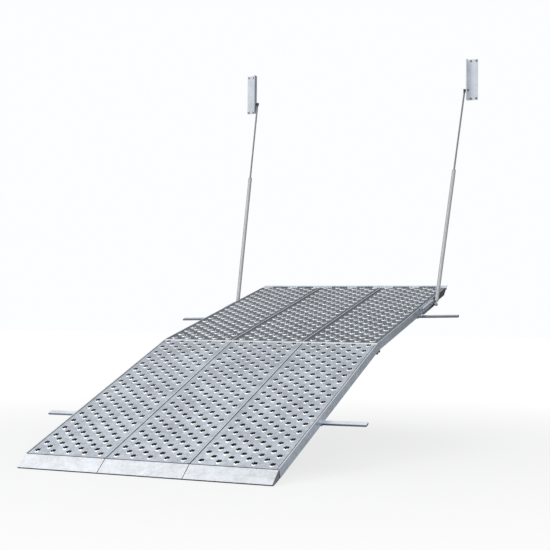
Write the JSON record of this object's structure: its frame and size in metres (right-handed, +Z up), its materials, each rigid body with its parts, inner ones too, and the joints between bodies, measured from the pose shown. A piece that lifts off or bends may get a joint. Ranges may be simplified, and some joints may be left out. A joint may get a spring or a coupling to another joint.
{
  "type": "folding loading ramp",
  "caption": "Folding loading ramp for the rear portal of a box truck: two sloping sections of perforated aluminium deck, toe plates, fold hinge and telescopic lift struts.",
  "frame": {"origin": "middle of the sill rail's bolt line, on the rail's back face", "axes": "+X to the right seen from behind the vehicle, +Y into the vehicle, +Z up"},
  "size_m": [2.6542, 4.4919, 3.6505],
  "materials": {
    "deck_aluminium": "mill finish, scuffed by traffic",
    "rail_aluminium": "mill finish extrusion, dull",
    "bare_aluminium": "smooth bare extrusion",
    "bar_steel": "zinc plated, matt",
    "dark_steel": "blackened steel",
    "black_paint": "satin black paint",
    "bracket_paint": "pale grey-blue paint, satin",
    "strut_paint": "silver paint, satin",
    "rod_steel": "ground and dark chromed",
    "socket_plastic": "matt"
  },
  "bodies": {
    "vehicle_mounts": {"sill_rail": "rail_aluminium", "sill_hinge_pins": "dark_steel", "portal_bracket_left": "bracket_paint", "portal_bracket_right": "bracket_paint", "bracket_bolts_left": "dark_steel", "bracket_bolts_right": "dark_steel", "rod_stud_left": "dark_steel", "rod_stud_right": "dark_steel"},
    "upper_section": {"upper_deck_left": "deck_aluminium", "upper_deck_centre": "deck_aluminium", "upper_deck_right": "deck_aluminium", "upper_side_rail_left": "rail_aluminium", "upper_side_rail_right": "rail_aluminium", "upper_divider_rail_left": "rail_aluminium", "upper_divider_rail_right": "rail_aluminium", "upper_cross_members": "rail_aluminium", "upper_stringers": "rail_aluminium", "upper_fold_beam": "rail_aluminium", "upper_cross_bar": "bar_steel", "upper_bar_straps": "bar_steel", "upper_sill_beam": "rail_aluminium", "strut_channel_left": "rail_aluminium", "strut_channel_right": "rail_aluminium", "hinge_cheek_left": "black_paint", "hinge_cheek_right": "black_paint", "foot_stud_left": "dark_steel", "foot_stud_right": "dark_steel"},
    "fold_link": {"fold_links": "dark_steel", "fold_pins": "dark_steel"},
    "lower_section": {"lower_deck_left": "deck_aluminium", "lower_deck_centre": "deck_aluminium", "lower_deck_right": "deck_aluminium", "lower_side_rail_left": "rail_aluminium", "lower_side_rail_right": "rail_aluminium", "lower_divider_rail_left": "rail_aluminium", "lower_divider_rail_right": "rail_aluminium", "lower_cross_members": "rail_aluminium", "lower_stringers": "rail_aluminium", "lower_fold_beam": "rail_aluminium", "lower_cross_bar": "bar_steel", "lower_bar_straps": "bar_steel", "fold_cover_strip": "bare_aluminium", "toe_plate_left": "bare_aluminium", "toe_plate_centre": "bare_aluminium", "toe_plate_right": "bare_aluminium"},
    "strut_cylinder_left": {"cylinder_tube_left": "strut_paint", "cylinder_gland_left": "dark_steel", "foot_eye_left": "strut_paint"},
    "strut_rod_left": {"piston_rod_left": "rod_steel", "piston_left": "dark_steel", "rod_socket_left": "socket_plastic"},
    "strut_cylinder_right": {"cylinder_tube_right": "strut_paint", "cylinder_gland_right": "dark_steel", "foot_eye_right": "strut_paint"},
    "strut_rod_right": {"piston_rod_right": "rod_steel", "piston_right": "dark_steel", "rod_socket_right": "socket_plastic"}
  },
  "joints": [
    {"name": "ramp_lift", "type": "hinge", "parent": "vehicle_mounts", "child": "upper_section", "pos_m": [0, -0.026, 0.025], "axis": [-1, 0, 0], "range_deg": [0, 103.5]},
    {"name": "fold_upper", "type": "hinge", "parent": "upper_section", "child": "fold_link", "pos_m": [0, -2.12204, -0.53992], "axis": [1, 0, 0], "range_deg": [0, 86.35]},
    {"name": "fold_lower", "type": "hinge", "parent": "fold_link", "child": "lower_section", "pos_m": [0, -2.17025, -0.5548], "axis": [1, 0, 0], "range_deg": [0, 86.35]},
    {"name": "strut_swing_left", "type": "hinge", "parent": "upper_section", "child": "strut_cylinder_left", "pos_m": [-1.021, -0.56306, -0.13684], "axis": [0.9999, -0.0116, -0.0097], "range_deg": [0, 114.4]},
    {"name": "rod_slide_left", "type": "slide", "parent": "strut_cylinder_left", "child": "strut_rod_left", "axis": [-0.0444, 0.2971, 0.9538], "range_m": [-0.81262, 0]},
    {"name": "strut_swing_right", "type": "hinge", "parent": "upper_section", "child": "strut_cylinder_right", "pos_m": [1.021, -0.56306, -0.13684], "axis": [0.9999, 0.0116, 0.0097], "range_deg": [0, 114.4]},
    {"name": "rod_slide_right", "type": "slide", "parent": "strut_cylinder_right", "child": "strut_rod_right", "axis": [0.0444, 0.2971, 0.9538], "range_m": [-0.81262, 0]}
  ],
  "couplings": [
    {"joint": "strut_swing_left", "follows": "ramp_lift", "ratio": 1.1053},
    {"joint": "rod_slide_left", "follows": "ramp_lift", "m_per_rad": -0.44985},
    {"joint": "strut_swing_right", "follows": "ramp_lift", "ratio": 1.1053},
    {"joint": "rod_slide_right", "follows": "ramp_lift", "m_per_rad": -0.44985}
  ]
}
